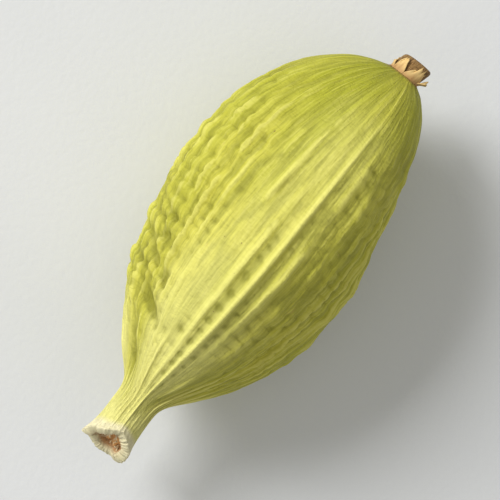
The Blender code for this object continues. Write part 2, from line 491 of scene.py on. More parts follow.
        raised = sum(stretch.at(s) for stretch in self.raised if stretch.number == rib)
        grooved = sum(stretch.at(s) for stretch in self.grooves if stretch.number == valley)
        swing = self.strength_swing * noise.noise(Vector((2.7 * rib, 0.0, s / self.strength_size)))
        strength = self.strengths[rib] * max(self.least_strength, 1.0 + swing)
        strength = strength * (1.0 - near) + near
        calm = 1.0 - self.far_end_calm * smooth_step(*self.calms_over, s)
        fade = 1.0 - self.ridge_fade * smooth_step(*self.ridge_fades_over, s)
        ridge = near * (1.0 - self.ridge_pair + self.ridge_pair * (2.0 * sharp - 1.0)) * fade
        beads = 1.0 - self.beading * rung * patch * (1.0 - near)
        lengthwise = self.rib_height * (2.0 * strength * sharp * beads - 1.0)
        lengthwise += self.ridge_height * ridge
        lengthwise += raised * sharp
        lengthwise += self.veins(s, number, valley) * (1.0 - crest)
        lengthwise *= calm

        pit_and_painted_shade = (1.0 - crest) ** 0.8 * rung * patch * (1.0 - near)
        across = (number - math.floor(number + 0.5)) / self.groove_width
        stitched = grooved * math.exp(-across ** 2) * (0.45 + 0.60 * rung)
        crinkle = self.crinkle(place) * blend(0.35, 1.0, patch) * (1.0 - 0.75 * sharp)
        crosswise = -self.wrinkle_depth * pit_and_painted_shade - stitched
        crosswise -= self.crinkle_depth * crinkle * (1.0 - 0.6 * near)

        full = self.fullness(s)
        wear = blend(self.rim_smoothness, 1.0, smooth_step(0.0, form.neck_end, s))
        height = wear * full ** self.relief_power * (lengthwise + crosswise)
        height += full ** 2 * self.puckers_and_dents(s, place, near)
        grit = Vector((place.x, place.y, self.grit_stretch * s))
        height += full * self.grit_height * field(grit, self.grit_size)
        creased = 0.0
        for fold in self.folds:
            if abs(s - fold.s) < self.fold_range:
                creased += fold.at(s, angle, full * form.girth)
        comb = self.comb(s, angle, place)
        height -= self.comb_depth * comb
        # Painted shade: the colour is darkened in the pits, grooves, crinkles, comb puckers and
        # folds, as if shade lay in them.
        painted_crease_shade = 0.6 * pit_and_painted_shade + 0.30 * crinkle + 1.0 * comb + 1.2 * stitched / self.groove_depth_at_full_shade
        painted_crease_shade = min(1.5, painted_crease_shade + max(0.0, creased) / self.crease_depth_at_full_shade)
        shown_crest = sharp * min(1.3, strength * beads + raised / self.crest_mark) * calm
        return Skin(height - creased, shown_crest, near * sharp * calm, painted_crease_shade)

    def cover(self, s: float, angle: float, place: Vector) -> float:
        """How fully the cross-wrinkles show: in patches, and most in the comb.

        Args:
            s: Distance from the stub's rim.
            angle: Angle round the axis, from 0 to a full turn.
            place: The place on the straight cylinder.

        Returns:
            The share of their full depth that they have there.
        """
        patch = smooth_step(-0.35, 0.35, field(place, self.cover_size, 5.0, 0.0, 4.0))
        patch = blend(self.least_cover, 1.0, patch)
        patch *= smooth_step(self.form.neck_end, self.cover_full_at, s)
        along = (s - self.comb_at) / (self.comb_cover_spread * self.comb_length)
        across = (angle - self.comb_angle) / self.comb_reach
        patch += self.comb_cover * math.exp(-along ** 2 - across ** 2)
        return patch * (1.0 - self.cover_fall * smooth_step(*self.cover_falls_over, s))

    def crinkle(self, place: Vector) -> float:
        """1 along thin creases that run mostly crosswise, 0 between them."""
        at = Vector((place.x / self.crinkle_width, place.y / self.crinkle_width,
                     place.z / self.crinkle_spacing))
        return math.exp(-(noise.noise(at) / self.crinkle_sharpness) ** 2)

    def comb(self, s: float, angle: float, place: Vector) -> float:
        """Share of their full depth that the slanting puckers of the +Y shoulder have.

        Args:
            s: Distance from the stub's rim.
            angle: Angle round the axis, from 0 to a full turn.
            place: The place on the straight cylinder.

        Returns:
            A share from 0 to 1.
        """
        along, turn = s - self.comb_at, angle - self.comb_angle
        across = turn * self.form.girth
        way = along * math.cos(self.comb_slant) - across * math.sin(self.comb_slant)
        way += self.comb_drift * field(place, self.comb_drift_size, 2.0, 6.0, 0.0)
        groove = (0.5 + 0.5 * math.cos(TAU * way / self.comb_pitch)) ** self.comb_sharpness
        return groove * math.exp(-(along / self.comb_length) ** 2 - (turn / self.comb_reach) ** 2)

    def veins(self, s: float, number: float, valley: int) -> float:
        """Height of the two faint veins that run in every valley.

        Args:
            s: Distance from the stub's rim.
            number: Place across the ribs, a whole number in each valley.
            valley: Number of the nearest valley.

        Returns:
            The height.
        """
        across = number - math.floor(number + 0.5)
        bend = self.vein_bend * noise.noise(Vector((1.9 * valley, s / (1.5 * MM), 4.0)))
        height = 0.0
        for side in (-0.5, 0.5):
            power = 0.6 + noise.noise(Vector((1.3 * valley, 9.0 * side, s / (2.0 * MM))))
            reach = (across - side * self.vein_spread - bend) / self.vein_width
            height += max(0.0, power) * math.exp(-reach ** 2)
        return self.vein_height * height

    def puckers_and_dents(self, s: float, place: Vector, near: float) -> float:
        """Height of the broad crosswise relief.

        Args:
            s: Distance from the stub's rim.
            place: The place on the straight cylinder.
            near: How near the place is to a corner.

        Returns:
            The height where the husk is at its fullest.
        """
        patch = smooth_step(-0.35, 0.45, field(place, self.dent_size, 0.0, 9.0, 0.0))
        turn = TAU * s / self.pucker_pitch
        turn += self.pucker_drift * field(place, self.dent_size, 7.0, 0.0, 0.0)
        puckers = self.pucker_height * patch * math.cos(turn) * (1.0 - near)
        return puckers + self.dent_depth * field(place, self.dent_size)


# Nodes of a material


class Graph:
    """The nodes of one material, with a short call for each kind in use."""

    def __init__(self, name: str) -> None:
        """Starts a material with its Principled shader."""
        self.material = bpy.data.materials.new(name)
        self.material.use_nodes = True
        self.tree = self.material.node_tree
        self.shader = self.tree.nodes["Principled BSDF"]

    def node(self, kind: str) -> bpy.types.Node:
        """A new node of a kind."""
        return self.tree.nodes.new(kind)

    def feed(self, socket: Socket, value: object) -> None:
        """Links a socket to a value that is a socket, or sets it."""
        if isinstance(value, Socket):
            self.tree.links.new(value, socket)
        else:
            socket.default_value = value

    def attribute(self, layer: Layer) -> Socket:
        """A layer that the mesh carries, as a vector."""
        node = self.node("ShaderNodeAttribute")
        node.attribute_name = layer.value
        return node.outputs["Vector"]

    def object_place(self) -> Socket:
        """The place on the object, in metres."""
        return self.node("ShaderNodeTexCoord").outputs["Object"]

    def split(self, vector: Socket) -> tuple[Socket, Socket, Socket]:
        """The three parts of a vector."""
        node = self.node("ShaderNodeSeparateXYZ")
        self.feed(node.inputs[0], vector)
        return node.outputs[0], node.outputs[1], node.outputs[2]

    def noise(
        self, place: Socket, across: float, along: float,
        detail: float = 3.0, rough: float = 0.55, shift: float = 0.0,
    ) -> Socket:
        """Noise whose grains have a width and a length.

        Args:
            place: The place, in metres.
            across: Width of a grain.
            along: Length of a grain, along the third axis.
            detail: Finer layers of the noise.
            rough: Strength of the finer layers.
            shift: Moves the field, so that two noises differ.

        Returns:
            The noise's value, about 0.5 in the mean.
        """
        mapping = self.node("ShaderNodeMapping")
        self.feed(mapping.inputs["Vector"], place)
        mapping.inputs["Scale"].default_value = (1.0 / across, 1.0 / across, 1.0 / along)
        mapping.inputs["Location"].default_value = (shift, 0.7 * shift, -shift)
        node = self.node("ShaderNodeTexNoise")
        self.feed(node.inputs["Vector"], mapping.outputs[0])
        node.inputs["Scale"].default_value = 1.0
        node.inputs["Detail"].default_value = detail
        node.inputs["Roughness"].default_value = rough
        return node.outputs[0]

    def ramp(
        self, value: Socket, low: float, high: float,
        first: float = 0.0, last: float = 1.0,
    ) -> Socket:
        """A smooth rise between two values of the input.

        Args:
            value: The input.
            low: Input where the rise begins.
            high: Input where it ends.
            first: Output before the rise.
            last: Output after it.

        Returns:
            The output.
        """
        node = self.node("ShaderNodeMapRange")
        node.interpolation_type = "SMOOTHSTEP"
        for name, number in zip(("Value", "From Min", "From Max", "To Min", "To Max"),
                                (value, low, high, first, last)):
            self.feed(node.inputs[name], number)
        return node.outputs[0]

    def math(self, operation: str, first: object, second: object) -> Socket:
        """Two numbers combined."""
        node = self.node("ShaderNodeMath")
        node.operation = operation
        self.feed(node.inputs[0], first)
        self.feed(node.inputs[1], second)
        return node.outputs[0]

    def times(self, first: object, second: object) -> Socket:
        """The product of two numbers."""
        return self.math("MULTIPLY", first, second)

    def mix(self, share: object, first: object, second: object) -> Socket:
        """Two colours blended.

        Args:
            share: How much of the second.
            first: A colour.
            second: Another colour.

        Returns:
            The blended colour.
        """
        node = self.node("ShaderNodeMix")
        node.data_type = "RGBA"
        node.clamp_factor = True
        self.feed(node.inputs[0], share)
        self.feed(node.inputs[6], first)
        self.feed(node.inputs[7], second)
        return node.outputs[2]

    def bump(self, height: Socket, distance: float, under: Socket | None = None) -> Socket:
        """A normal bent by a height.

        Args:
            height: The height, from 0 to 1.
            distance: What a height of 1 stands for, in metres.
            under: A normal that is already bent.

        Returns:
            The bent normal.
        """
        node = self.node("ShaderNodeBump")
        node.inputs["Strength"].default_value = 1.0
        node.inputs["Distance"].default_value = distance
        self.feed(node.inputs["Height"], height)
        if under is not None:
            self.feed(node.inputs["Normal"], under)
        return node.outputs[0]

    def finish(
        self, colour: object, roughness: object, normal: Socket, shine: float,
    ) -> Material:
        """Feeds the shader.

        Args:
            colour: The base colour.
            roughness: The roughness.
            normal: The bent normal.
            shine: Strength of the highlights.

        Returns:
            The material.
        """
        for name, value in (("Base Color", colour), ("Roughness", roughness),
                            ("Normal", normal), ("Specular IOR Level", shine)):
            self.feed(self.shader.inputs[name], value)
        return self.material


# Finishes


@dataclass(frozen=True)
class HuskFinish:
    """Dry ribbed husk: yellow-green, paler on the ribs and towards the neck, with painted shade in
    its creases and hollow and painted light on its lit side.
    """

    yellow: Colour = (0.595, 0.560, 0.070, 1.0)
    green: Colour = (0.410, 0.415, 0.028, 1.0)
    pale: Colour = (0.76, 0.72, 0.17, 1.0)
    dark: Colour = (0.20, 0.195, 0.018, 1.0)
    # the neck's own pale colour, also used for the painted light and painted highlight
    neck: Colour = (0.90, 0.85, 0.29, 1.0)
    rim: Colour = (0.94, 0.86, 0.56, 1.0)
    hollow: Colour = (0.72, 0.42, 0.20, 1.0)
    hollow_floor_painted_shade: Colour = (0.46, 0.19, 0.065, 1.0)
    tan: Colour = (0.60, 0.37, 0.13, 1.0)
    brown: Colour = (0.16, 0.075, 0.030, 1.0)
    crest_paleness: float = 0.56
    ridge_paleness: float = 0.55
    # strength of the painted shade in pits and creases
    pit_painted_shade_strength: float = 0.66
    rim_ends: float = 0.90 * MM
    rim_full: float = 0.35 * MM
    roughness: float = 0.60
    roughness_swing: float = 0.12
    shine: float = 0.21

    def material(self) -> Material:
        """Builds the husk's material.

        Returns:
            The material, which reads the husk mesh's own layers.
        """
        g = Graph("husk_skin")
        place = g.attribute(Layer.PLACE)
        s = g.split(place)[2]
        crest, ridge, pit_and_painted_shade = g.split(g.attribute(Layer.GRAIN))
        neck, hollow, remnant = g.split(g.attribute(Layer.ZONES))

        broad = g.noise(place, 3.0 * MM, 6.0 * MM, 2.0, 0.5, 3.0)
        mottle = g.noise(place, 0.45 * MM, 1.6 * MM, 4.0, 0.6, 11.0)
        streaks = g.noise(place, 0.15 * MM, 1.6 * MM, 4.0, 0.62, 17.0)
        fine = g.noise(place, 0.05 * MM, 0.25 * MM, 5.0, 0.65, 23.0)
        stains = g.noise(place, 0.7 * MM, 1.0 * MM, 5.0, 0.7, 31.0)
        specks = g.noise(place, 0.16 * MM, 0.20 * MM, 2.0, 0.5, 37.0)

        greener = g.math("ADD", g.ramp(broad, 0.36, 0.66, 0.0, 0.65),
                         g.ramp(s, 8.0 * MM, 18.0 * MM, 0.0, 0.45))
        broken = g.ramp(mottle, 0.36, 0.64, 0.04, 0.46)
        rim = g.ramp(s, self.rim_ends, self.rim_full)
        # painted shade: the hollow's brown grows darker towards its floor
        inside = g.mix(g.ramp(hollow, 0.45, 1.0), self.hollow, self.hollow_floor_painted_shade)
        inside = g.mix(g.ramp(fine, 0.45, 0.75, 0.0, 0.4), inside, self.tan)
        dried = g.mix(g.ramp(fine, 0.36, 0.60, 0.15, 0.95), self.tan, self.brown)

        # From the lowest coat to the uppermost: how much shows, and of what colour
        colour = self.yellow
        for share, coat in (
            (greener, self.green),
            (g.ramp(mottle, 0.40, 0.70, 0.0, 0.35), self.green),
            (g.ramp(streaks, 0.48, 0.68, 0.0, 0.38), self.pale),
            (g.ramp(streaks, 0.50, 0.32, 0.0, 0.44), self.dark),
            (g.times(g.ramp(crest, 0.35, 0.95), self.crest_paleness), self.pale),
            (g.times(g.ramp(ridge, 0.20, 0.75), self.ridge_paleness), self.pale),
            # darker between the ribs: partly the husk's own darker grooves, partly painted shade
            (g.times(g.ramp(crest, 0.22, 0.0), broken), self.dark),
            # pale neck, and through the same share the painted light on the lit side and the
            # painted highlight on the outer fold
            (g.times(neck, g.ramp(streaks, 0.25, 0.6, 0.72, 1.0)), self.neck),
            # painted shade in pits, grooves and creases
            (g.times(g.ramp(pit_and_painted_shade, 0.10, 1.30), self.pit_painted_shade_strength), self.dark),
            (g.ramp(stains, 0.66, 0.80, 0.0, 0.55), self.tan),
            (g.ramp(specks, 0.74, 0.82, 0.0, 0.6), self.brown),
            (g.times(rim, g.ramp(fine, 0.30, 0.55, 0.6, 1.0)), self.rim),
            (g.ramp(hollow, 0.10, 0.32), inside),
            (g.ramp(remnant, 0.10, 0.60), dried),
        ):
            colour = g.mix(share, colour, coat)

        roughness = g.math("ADD", self.roughness - self.roughness_swing,
                           g.times(mottle, 2.0 * self.roughness_swing))
        creases = g.noise(place, 0.50 * MM, 0.15 * MM, 2.0, 0.5, 43.0)
        creases = g.ramp(g.math("ABSOLUTE", g.math("SUBTRACT", creases, 0.5), 0.0), 0.0, 0.07)
        normal = g.bump(streaks, 0.065 * MM)
        normal = g.bump(creases, 0.010 * MM, normal)
        normal = g.bump(fine, 0.014 * MM, normal)
        return g.finish(colour, roughness, normal, self.shine)


@dataclass(frozen=True)
class DryFinish:
    """Dead plant matter: fibres, pith and the papery remnant of the flower."""

    name: str
    light: Colour
    dark: Colour
    grain: float
    length: float
    roughness: float
    shine: float = 0.25

    def material(self) -> Material:
        """Builds the material, with a grain along the pod and painted shade towards each shred's
        root.

        Returns:
            The material.
        """
        g = Graph(self.name)
        turned = g.node("ShaderNodeMapping")
        turned.inputs["Rotation"].default_value = (0.0, 90.0 * DEG, 0.0)
        g.feed(turned.inputs["Vector"], g.object_place())
        place = turned.outputs[0]
        grain = g.noise(place, self.grain, self.length, 4.0, 0.6)
        blotch = g.noise(place, 6.0 * self.grain, 2.0 * self.length, 3.0, 0.6, 5.0)
        reach = g.split(g.attribute(Layer.REACH))[0]
        # painted shade towards each shred's root, at the lobes' base and between the pith's crumbs,
        # plus the grain's own darker streaks
        grain_and_root_painted_shade = g.math("ADD", g.ramp(reach, 0.75, 0.0, 0.0, 0.7),
                        g.ramp(grain, 0.45, 0.75, 0.0, 0.3))
        colour = g.mix(grain_and_root_painted_shade, self.light, self.dark)
        colour = g.mix(g.ramp(blotch, 0.50, 0.70, 0.0, 0.5), colour, self.dark)
        roughness = g.ramp(grain, 0.2, 0.8, self.roughness - 0.08, self.roughness + 0.08)
        return g.finish(colour, roughness, g.bump(grain, 0.012 * MM), self.shine)


PITH = DryFinish(
    "stalk_pith", light=(0.82, 0.46, 0.18, 1.0), dark=(0.44, 0.19, 0.06, 1.0),
    grain=0.06 * MM, length=0.12 * MM, roughness=0.8,
)
FIBRE = DryFinish(
    "stalk_fibre", light=(0.86, 0.74, 0.48, 1.0), dark=(0.50, 0.32, 0.15, 1.0),
    grain=0.04 * MM, length=0.35 * MM, roughness=0.65,
)
PAPERY = DryFinish(
    "flower_remnant", light=(0.78, 0.55, 0.23, 1.0), dark=(0.34, 0.16, 0.055, 1.0),
    grain=0.10 * MM, length=0.5 * MM, roughness=0.7,
)


@dataclass(frozen=True)
class FloorFinish:
    """Matt pale board."""

    light: Colour = (0.79, 0.80, 0.81, 1.0)
    shade: Colour = (0.73, 0.745, 0.76, 1.0)
    shine: float = 0.2

    def material(self) -> Material:
        """Builds the board's material.

        Returns:
            The material, with a faint tooth.
        """
        g = Graph("pale_board")
        place = g.object_place()
        broad = g.noise(place, 30.0 * MM, 30.0 * MM, 3.0)
        tooth = g.noise(place, 0.25 * MM, 0.25 * MM, 3.0)
        colour = g.mix(g.ramp(broad, 0.35, 0.65), self.light, self.shade)
        roughness = g.ramp(tooth, 0.2, 0.8, 0.8, 0.95)
        return g.finish(colour, roughness, g.bump(tooth, 0.01 * MM), self.shine)


# Pieces of the pod


def make_object(name: str, bm: BMesh, material: Material) -> Piece:
    """Turns a bmesh into an object.

    Args:
        name: The object's name.
        bm: Its mesh, which is freed.
        material: Its finish.

    Returns:
        The object, linked to the scene.
    """
    mesh = bpy.data.meshes.new(name)
    bm.to_mesh(mesh)
    bm.free()
    mesh.materials.append(material)
    made = bpy.data.objects.new(name, mesh)
    bpy.context.scene.collection.objects.link(made)
    return made


def dry_mesh() -> tuple[BMesh, BMLayer]:
    """An empty mesh for dry shreds, and the layer that their finish reads."""
    bm = bmesh.new()
    return bm, bm.verts.layers.float_vector.new(Layer.REACH.value)


def make_piece(name: str, bm: BMesh, material: Material) -> Piece:
    """Turns a bmesh into a smooth object that rides on the pod's body.

    Args:
        name: The piece's name.
        bm: Its mesh, which is freed.
        material: Its finish.

    Returns:
        The object.
    """
    piece = make_object(name, bm, material)
    piece.data.shade_smooth()
    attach(piece, BODY)
    return piece


@dataclass
class Husk:
    """The husk itself: spun from its profile, then grown point by point."""

    form: PodForm
    relief: Relief
    points_per_rib: int = 12
    outer_rings: int = 218
    hollow_rings: int = 14
    lip_rings: int = 6
    end_rings: int = 8
    lip_height: float = 0.05 * MM
    floor_radius_share: float = 0.6
    floor_spread: float = 1.9
    dimple_over: Span = (0.45 * math.pi, math.pi)
    dimple_share: float = 0.6
    bulge_turn: float = 1.6
    length_steps: int = 4000
    map_margin: float = 0.004
    map_size: tuple[float, float] = (0.985, 0.992)
    jag: float = 0.05 * MM
    jag_pitch: float = 9.0
    fine_jag_pitch: float = 25.0
    edge_softness: float = 0.02 * MM
    hollow_at_rim: float = 0.15
    neck_reach: Span = (3.4 * MM, 6.2 * MM)     # in a valley and on a rib
    ridge_reach: float = 2.5 * MM
    uneven_reach: float = 1.2 * MM
    # painted light: the +Y face, turned towards the key lamp, is made paler near the neck
    lit_face_painted_light: float = 0.72
    lit_face_painted_light_at: float = 22.0 * DEG
    lit_face_painted_light_edge: float = 0.62
    lit_face_painted_light_fades_over: Span = (3.5 * MM, 10.0 * MM)
    # painted highlight along the outer fold of the +Y shoulder
    fold_painted_highlight: float = 0.85
    fold_painted_highlight_at: float = 112.0 * DEG
    fold_painted_highlight_reach: float = 20.0 * DEG
    fold_painted_highlight_fades_over: Span = (4.0 * MM, 6.0 * MM)
    # painted light: a paler band beside the upper ridge, on the side facing the key lamp
    painted_light_band: float = 0.25
    painted_light_band_shift: float = 20.0 * DEG
    painted_light_band_reach: float = 24.0 * DEG
    band_grows_over: Span = (5.0 * MM, 9.0 * MM)
    band_fades_over: Span = (14.5 * MM, 17.0 * MM)
    seat: Vector = Vector((0.0, 0.0, 0.0))

    def profile(self) -> list[tuple[float, float]]:
        """Half outline from the hollow's floor over the lip to the far dimple.

        Returns:
            Points as distance from the rim and radius.
        """
        form = self.form
        points = [(form.hollow_depth, 0.0)]
        for i in range(self.hollow_rings):
            share = (i + 0.5) / self.hollow_rings
            radius = form.hollow * min(1.0, self.floor_spread * share)
            radius *= blend(self.floor_radius_share, 1.0, share)
            points.append((form.hollow_depth * (1.0 - share ** 3), radius))
        rim = form.outer(0.0)
        for i in range(self.lip_rings):
            share = i / self.lip_rings
            over = self.lip_height * math.sin(math.pi * share)
            points.append((-over, blend(form.hollow, rim, share)))
        last = form.length - 0.5 * form.remnant_dimple
        points += self.evenly_outside(last)
        for i in range(1, self.end_rings + 1):
            turn = math.pi * i / (self.end_rings + 1)
            radius = form.outer(last) * 0.5 * (1.0 + math.cos(turn))
            bulge = 0.5 * form.remnant_dimple * math.sin(min(turn * self.bulge_turn, math.pi))
            sunk = form.remnant_dimple * smooth_step(*self.dimple_over, turn)
            points.append((last + bulge - self.dimple_share * sunk, radius))
        points.append((last - self.dimple_share * form.remnant_dimple, 0.0))
        return points

    def evenly_outside(self, last: float) -> list[tuple[float, float]]:
        """Points of the outside, evenly spaced by the distance along it.

        Args:
            last: Distance from the rim of the last ring.

        Returns:
            Points as distance from the rim and radius.
        """
        count = self.length_steps
        fine = [(last * i / count, self.form.outer(last * i / count)) for i in range(count + 1)]
        travelled = [0.0]
        for before, after in zip(fine, fine[1:]):
            travelled.append(travelled[-1] + math.dist(before, after))
        points, at = [], 0
        for i in range(self.outer_rings):
            target = travelled[-1] * i / (self.outer_rings - 1)
            while at < count and travelled[at] < target:
                at += 1
            points.append(fine[at])
        return points

    def spun(self) -> BMesh:
        """The turned form, its stub uppermost, closed at both poles.

        Returns:
            The mesh, with a layer that rolls it out flat.
        """
        bm = bmesh.new()
        verts = [bm.verts.new((radius, 0.0, -s)) for s, radius in self.profile()]
        edges = [bm.edges.new(pair) for pair in zip(verts, verts[1:])]
        bmesh.ops.spin(
            bm, geom=verts + edges, cent=(0.0, 0.0, 0.0), axis=(0.0, 0.0, 1.0),
            dvec=(0.0, 0.0, 0.0), angle=TAU, space=Matrix.Identity(4),
            steps=self.points_per_rib * self.relief.ribs, use_merge=True,
            use_normal_flip=False, use_duplicate=False,
        )
        bmesh.ops.remove_doubles(bm, verts=bm.verts, dist=1.0e-9)
        bmesh.ops.recalc_face_normals(bm, faces=bm.faces)
        return bm

    def roll_out(self, bm: BMesh) -> None:
        """Lays a map over the turned form: round it one way, along it the other.

        Args:
            bm: The turned form.
        """
        layer = bm.loops.layers.uv.new(Layer.BAKE_MAP.value)
        margin, (width, height) = self.map_margin, self.map_size
        travelled, rings = 0.0, []
        profile = self.profile()
        for before, after in zip(profile, profile[1:] + profile[-1:]):
            rings.append((before, travelled))
            travelled += math.dist(before, after)
        height_at = {}
        for face in bm.faces:
            places = [loop.vert.co for loop in face.loops]
            turns = [(math.atan2(co.y, co.x) / TAU) % 1.0 for co in places]
            rims = [math.hypot(co.x, co.y) > 1.0e-9 for co in places]
            known = [turn for turn, off_axis in zip(turns, rims) if off_axis]
            if max(known) - min(known) > 0.5:
                turns = [turn + 1.0 if turn < 0.5 else turn for turn in turns]
                known = [turn for turn, off_axis in zip(turns, rims) if off_axis]
            middle = sum(known) / len(known)
            for loop, co, turn, off_axis in zip(face.loops, places, turns, rims):
                s, r = -co.z, math.hypot(co.x, co.y)
                key = (round(s / MM, 4), round(r / MM, 4))
                if key not in height_at:
                    height_at[key] = min(rings, key=lambda ring: math.dist(ring[0], (s, r)))[1]
                v = height_at[key] / travelled
                u = turn if off_axis else middle
                loop[layer].uv = (margin + width * u, margin + height * v)

    def grow(self, bm: BMesh) -> None:
        """Moves every point to its place on the grown pod and notes what it is.

        Args:
            bm: The turned form.
        """
        form = self.form
        place_layer = bm.verts.layers.float_vector.new(Layer.PLACE.value)
        grain_layer = bm.verts.layers.float_vector.new(Layer.GRAIN.value)
        zone_layer = bm.verts.layers.float_vector.new(Layer.ZONES.value)
        for vert in bm.verts:
            s = -vert.co.z
            radius = math.hypot(vert.co.x, vert.co.y)
            angle = math.atan2(vert.co.y, vert.co.x) % TAU
            outside = form.outside(s, radius)
            skin = self.relief.at(s, angle)
            around = Vector((math.cos(angle), math.sin(angle), 0.0))
            vert[place_layer] = around * form.girth + Vector((0.0, 0.0, s))
            vert[grain_layer] = Vector((skin.crest, skin.ridge, skin.pit_and_painted_shade)) * outside
            vert[zone_layer] = self.zones(s, radius, angle, outside, skin)
            r = form.cornered(s, radius, angle) + outside * skin.height
            jag = self.jag * noise.noise(around * self.jag_pitch)
            jag += 0.25 * self.jag * noise.noise(around * self.fine_jag_pitch)
            vert.co = form.place(s, r, angle, jag)

    def zones(self, s: float, radius: float, angle: float, outside: float, skin: Skin) -> Vector:
        """How much a point belongs to the neck, the hollow and the remnant, with painted light and
        a painted highlight added to the neck's share.

        Args:
            s: Distance from the stub's rim.
            radius: Not used.
            angle: Angle round the axis.
            outside: How fully the point is on the outside.
            skin: The relief there.

        Returns:
            The three shares, as one vector.
        """
        form = self.form
        reach = blend(*self.neck_reach, min(1.0, skin.crest)) + self.ridge_reach * skin.ridge
        around = Vector((3.0 * math.cos(angle), 3.0 * math.sin(angle), 2.0))
        reach += self.uneven_reach * noise.noise(around)
        neck = 1.0 - smooth_step(0.5 * form.neck_end, reach, s)
        # painted highlight along the outer fold of the shoulder
        fold = self.fold_painted_highlight * math.exp(-((angle - self.fold_painted_highlight_at) / self.fold_painted_highlight_reach) ** 2)
        fold *= 1.0 - smooth_step(*self.fold_painted_highlight_fades_over, s)
        # painted light: paler where the face turns towards the key lamp
        face = smooth_step(self.lit_face_painted_light_edge, 1.0, math.cos(angle - self.lit_face_painted_light_at))
        pale = self.lit_face_painted_light * (1.0 - smooth_step(*self.lit_face_painted_light_fades_over, s)) * face
        # painted light: a paler band beside the upper ridge
        beside = (angle - form.corner_turn(s) - self.painted_light_band_shift + math.pi) % TAU - math.pi
        painted_light_band_share = self.painted_light_band * math.exp(-(beside / self.painted_light_band_reach) ** 2)
        painted_light_band_share *= (smooth_step(*self.band_grows_over, s)
                 * (1.0 - smooth_step(*self.band_fades_over, s)))
        # the neck's share also carries the painted light and the painted highlight
        neck = max(neck, fold, pale + painted_light_band_share)
        hollow = 0.0
        if s < form.neck_end:
            inside = 1.0 - outside
            # the share rises with depth, and the finish darkens it there as painted shade
            deep = smooth_step(-self.edge_softness, form.hollow_depth, s)
            hollow = min(1.0, 2.0 * (inside * deep) + self.hollow_at_rim * inside)
        remnant = smooth_step(form.body_end - 0.25 * MM, form.body_end + 0.15 * MM, s)
        return Vector((neck, hollow, remnant))

    def build(self) -> Piece:
        """Builds the husk where the frame's node stands.

        Returns:
            The husk.
        """
        bm = self.spun()
        self.roll_out(bm)
        self.grow(bm)
        low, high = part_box(NODE)
        own_low = Vector(min(v.co[k] for v in bm.verts) for k in range(3))
        own_high = Vector(max(v.co[k] for v in bm.verts) for k in range(3))
        self.seat = 0.5 * (low + high) - 0.5 * (own_low + own_high)
        self.seat.z = high.z - own_high.z
        bmesh.ops.translate(bm, verts=bm.verts, vec=self.seat)
        for vert in bm.verts:
            vert.co.z = max(vert.co.z, low.z)
        bmesh.ops.recalc_face_normals(bm, faces=bm.faces)
        log.info("husk: %d faces, own size %s mm", len(bm.faces),
                 [round(v / MM, 3) for v in own_high - own_low])
        piece = make_piece("husk", bm, HuskFinish().material())
        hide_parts(NODE)
        return piece


@dataclass
class StubPith:
    """The crumbled pith at the bottom of the stub's hollow."""

    form: PodForm
    seat: Vector
    depth: float = 0.55 * MM
    thickness: float = 0.25 * MM
    lumps: float = 0.16 * MM
    lump_pitch: float = 3.3
    crumb_pitch: float = 9.0
    edge: float = 0.05

    def build(self) -> Piece:
        """Builds the pith from a flattened ball that fills the hollow.

        Returns:
            The pith.
        """
        bm, reach_layer = dry_mesh()
        bmesh.ops.create_icosphere(bm, subdivisions=5, radius=1.0)
        for vert in bm.verts:
            way = vert.co.copy()
            angle = math.atan2(way.y, way.x)
            radius = math.hypot(way.x, way.y) * self.form.hollow
            lump = noise.noise(way * self.lump_pitch) + 0.5 * noise.noise(way * self.crumb_pitch)
            s = self.depth - self.thickness * way.z - self.lumps * lump * max(0.0, way.z)
            # lower crumbs get less reach, so the finish paints them shaded
            vert[reach_layer] = Vector((0.5 + 0.6 * lump, 0.0, 0.0))
            vert.co = self.form.place(s, radius * (1.0 + self.edge * lump), angle) + self.seat
        bmesh.ops.recalc_face_normals(bm, faces=bm.faces)
        return make_piece("stub_pith", bm, PITH.material())


